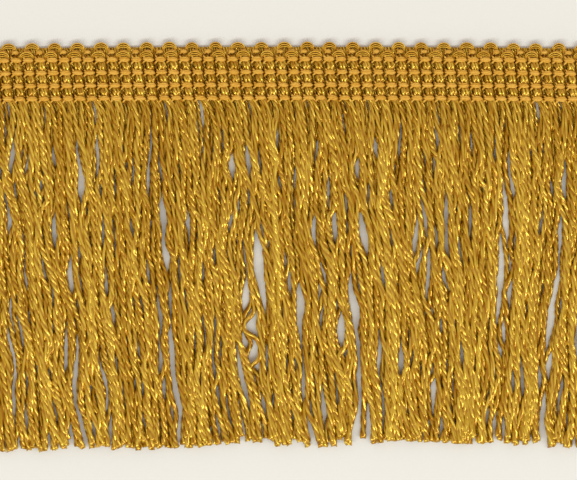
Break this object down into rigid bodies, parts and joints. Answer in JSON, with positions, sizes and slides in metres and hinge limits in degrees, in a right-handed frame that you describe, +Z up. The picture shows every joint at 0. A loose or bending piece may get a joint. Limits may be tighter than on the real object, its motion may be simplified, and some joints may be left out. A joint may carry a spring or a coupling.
{
  "type": "cut fringe trim",
  "caption": "Short length of knitted cut fringe trim lying flat, with a ribbed heading of chain rows, a looped top edge and a skirt of twisted cut strands.",
  "frame": {"origin": "on the table under the middle of the trim's outline", "axes": "+X along the trim, +Y from the cut ends towards the heading's looped edge, +Z up out of the face"},
  "size_m": [0.123, 0.0762, 0.0026],
  "materials": {
    "rayon_yarn": "lustrous plied rayon cord, old gold",
    "chain_yarn": "matte binder yarn, ochre",
    "loop_yarn": "soft-lustre yarn loops, gold"
  },
  "bodies": {
    "root": {"fringe_skirt": "rayon_yarn", "weft_band": "rayon_yarn", "chain_row_1": "chain_yarn", "chain_row_2": "chain_yarn", "chain_row_3": "chain_yarn", "chain_row_4": "chain_yarn", "loop_edge_front": "loop_yarn", "loop_edge_back": "loop_yarn"}
  },
  "joints": []
}
